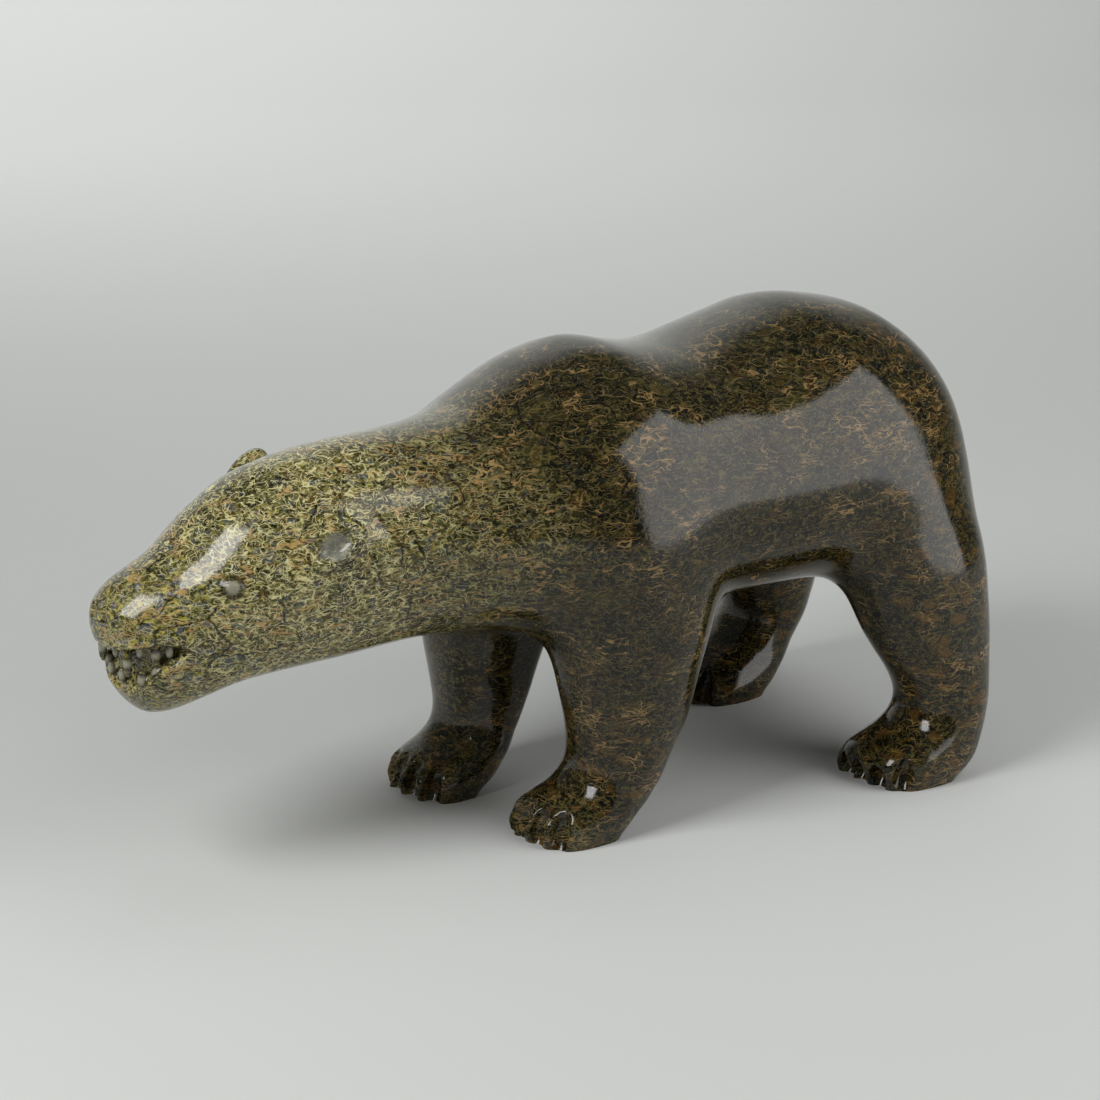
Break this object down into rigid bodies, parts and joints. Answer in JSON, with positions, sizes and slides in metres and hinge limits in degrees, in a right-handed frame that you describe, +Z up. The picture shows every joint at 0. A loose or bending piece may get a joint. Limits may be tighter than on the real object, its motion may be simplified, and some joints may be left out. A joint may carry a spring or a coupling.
{
  "type": "carved stone bear",
  "caption": "Walking bear carved from a single block of polished green serpentine, standing on its four paws with its head low and its jaws open.",
  "frame": {"origin": "on the ground under the middle of the carving's bounding box", "axes": "+X from the nose towards the rump, +Y towards the bear's right side, +Z up"},
  "size_m": [0.5194, 0.234, 0.2614],
  "materials": {
    "serpentine": "polished"
  },
  "bodies": {
    "root": {"bear": "serpentine"}
  },
  "joints": []
}
